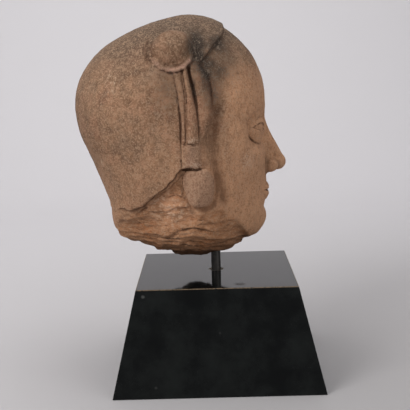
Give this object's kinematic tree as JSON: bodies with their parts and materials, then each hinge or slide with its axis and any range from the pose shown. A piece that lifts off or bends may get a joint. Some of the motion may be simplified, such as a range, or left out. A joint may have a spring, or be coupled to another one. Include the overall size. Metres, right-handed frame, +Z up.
{
  "type": "sandstone head sculpture on a plinth",
  "caption": "Life-size carved sandstone head with knots of hair at the sides and a broken neck, on a steel rod over a flared black wooden plinth.",
  "frame": {"origin": "middle of the plinth's underside, below the rod's axis", "axes": "+Z up, the face looks along -Y, the head's left side is +X"},
  "size_m": [0.2086, 0.2445, 0.3691],
  "materials": {
    "sandstone": "weathered fine-grained sandstone, brown, with sooty and pinkish patches",
    "dark_steel": "dark brown-black patinated steel, satin",
    "black_lacquer": "black lacquered wood, glossy, with light wear on its edges"
  },
  "bodies": {
    "root": {"sandstone_head": "sandstone", "support_rod": "dark_steel", "plinth": "black_lacquer"}
  },
  "joints": []
}
